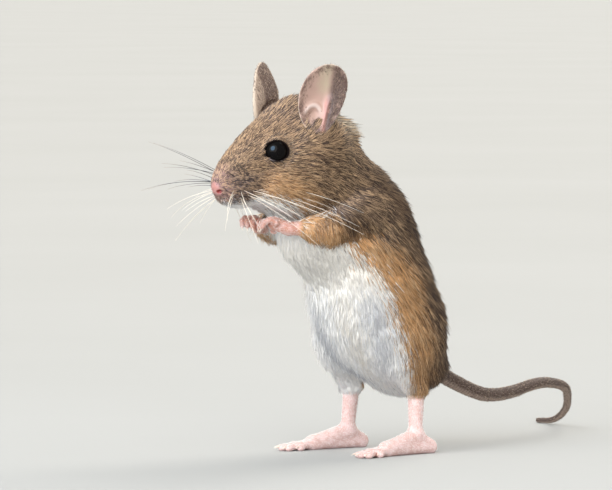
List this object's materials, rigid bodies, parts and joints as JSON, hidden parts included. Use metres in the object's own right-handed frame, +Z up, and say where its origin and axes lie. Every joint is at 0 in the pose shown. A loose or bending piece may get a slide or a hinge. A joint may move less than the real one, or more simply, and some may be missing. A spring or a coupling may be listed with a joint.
{
  "type": "field mouse model",
  "caption": "Life-size still model of a field mouse standing upright on its hind feet, hands held under its chin, tail trailing behind to the floor.",
  "frame": {"origin": "on the floor under the middle of the model's box", "axes": "+X is ahead of the mouse, +Y is to its left, +Z is up"},
  "size_m": [0.1178, 0.0522, 0.0836],
  "materials": {
    "coat": "short dense fur, dark brown back, ochre flanks, white belly",
    "bare_skin": "bare pink skin with sparse pale hairs",
    "ear_skin": "thin skin, nearly bare, pink-beige inside and grey-brown behind",
    "tail_skin": "finely ringed dark skin, paler below",
    "eye": "wet glossy black"
  },
  "bodies": {
    "root": {"nose": "bare_skin", "eye_left": "eye", "ear_left": "ear_skin", "hand_left": "bare_skin", "forearm_left": "coat", "upper_arm_left": "coat", "foot_left": "bare_skin", "shank_left": "bare_skin", "thigh_left": "coat", "eye_right": "eye", "ear_right": "ear_skin", "hand_right": "bare_skin", "forearm_right": "coat", "upper_arm_right": "coat", "foot_right": "bare_skin", "shank_right": "bare_skin", "thigh_right": "coat", "tail_1": "tail_skin", "tail_2": "tail_skin", "tail_3": "tail_skin", "tail_4": "tail_skin", "head": "coat", "neck": "coat", "trunk": "coat"}
  },
  "joints": []
}
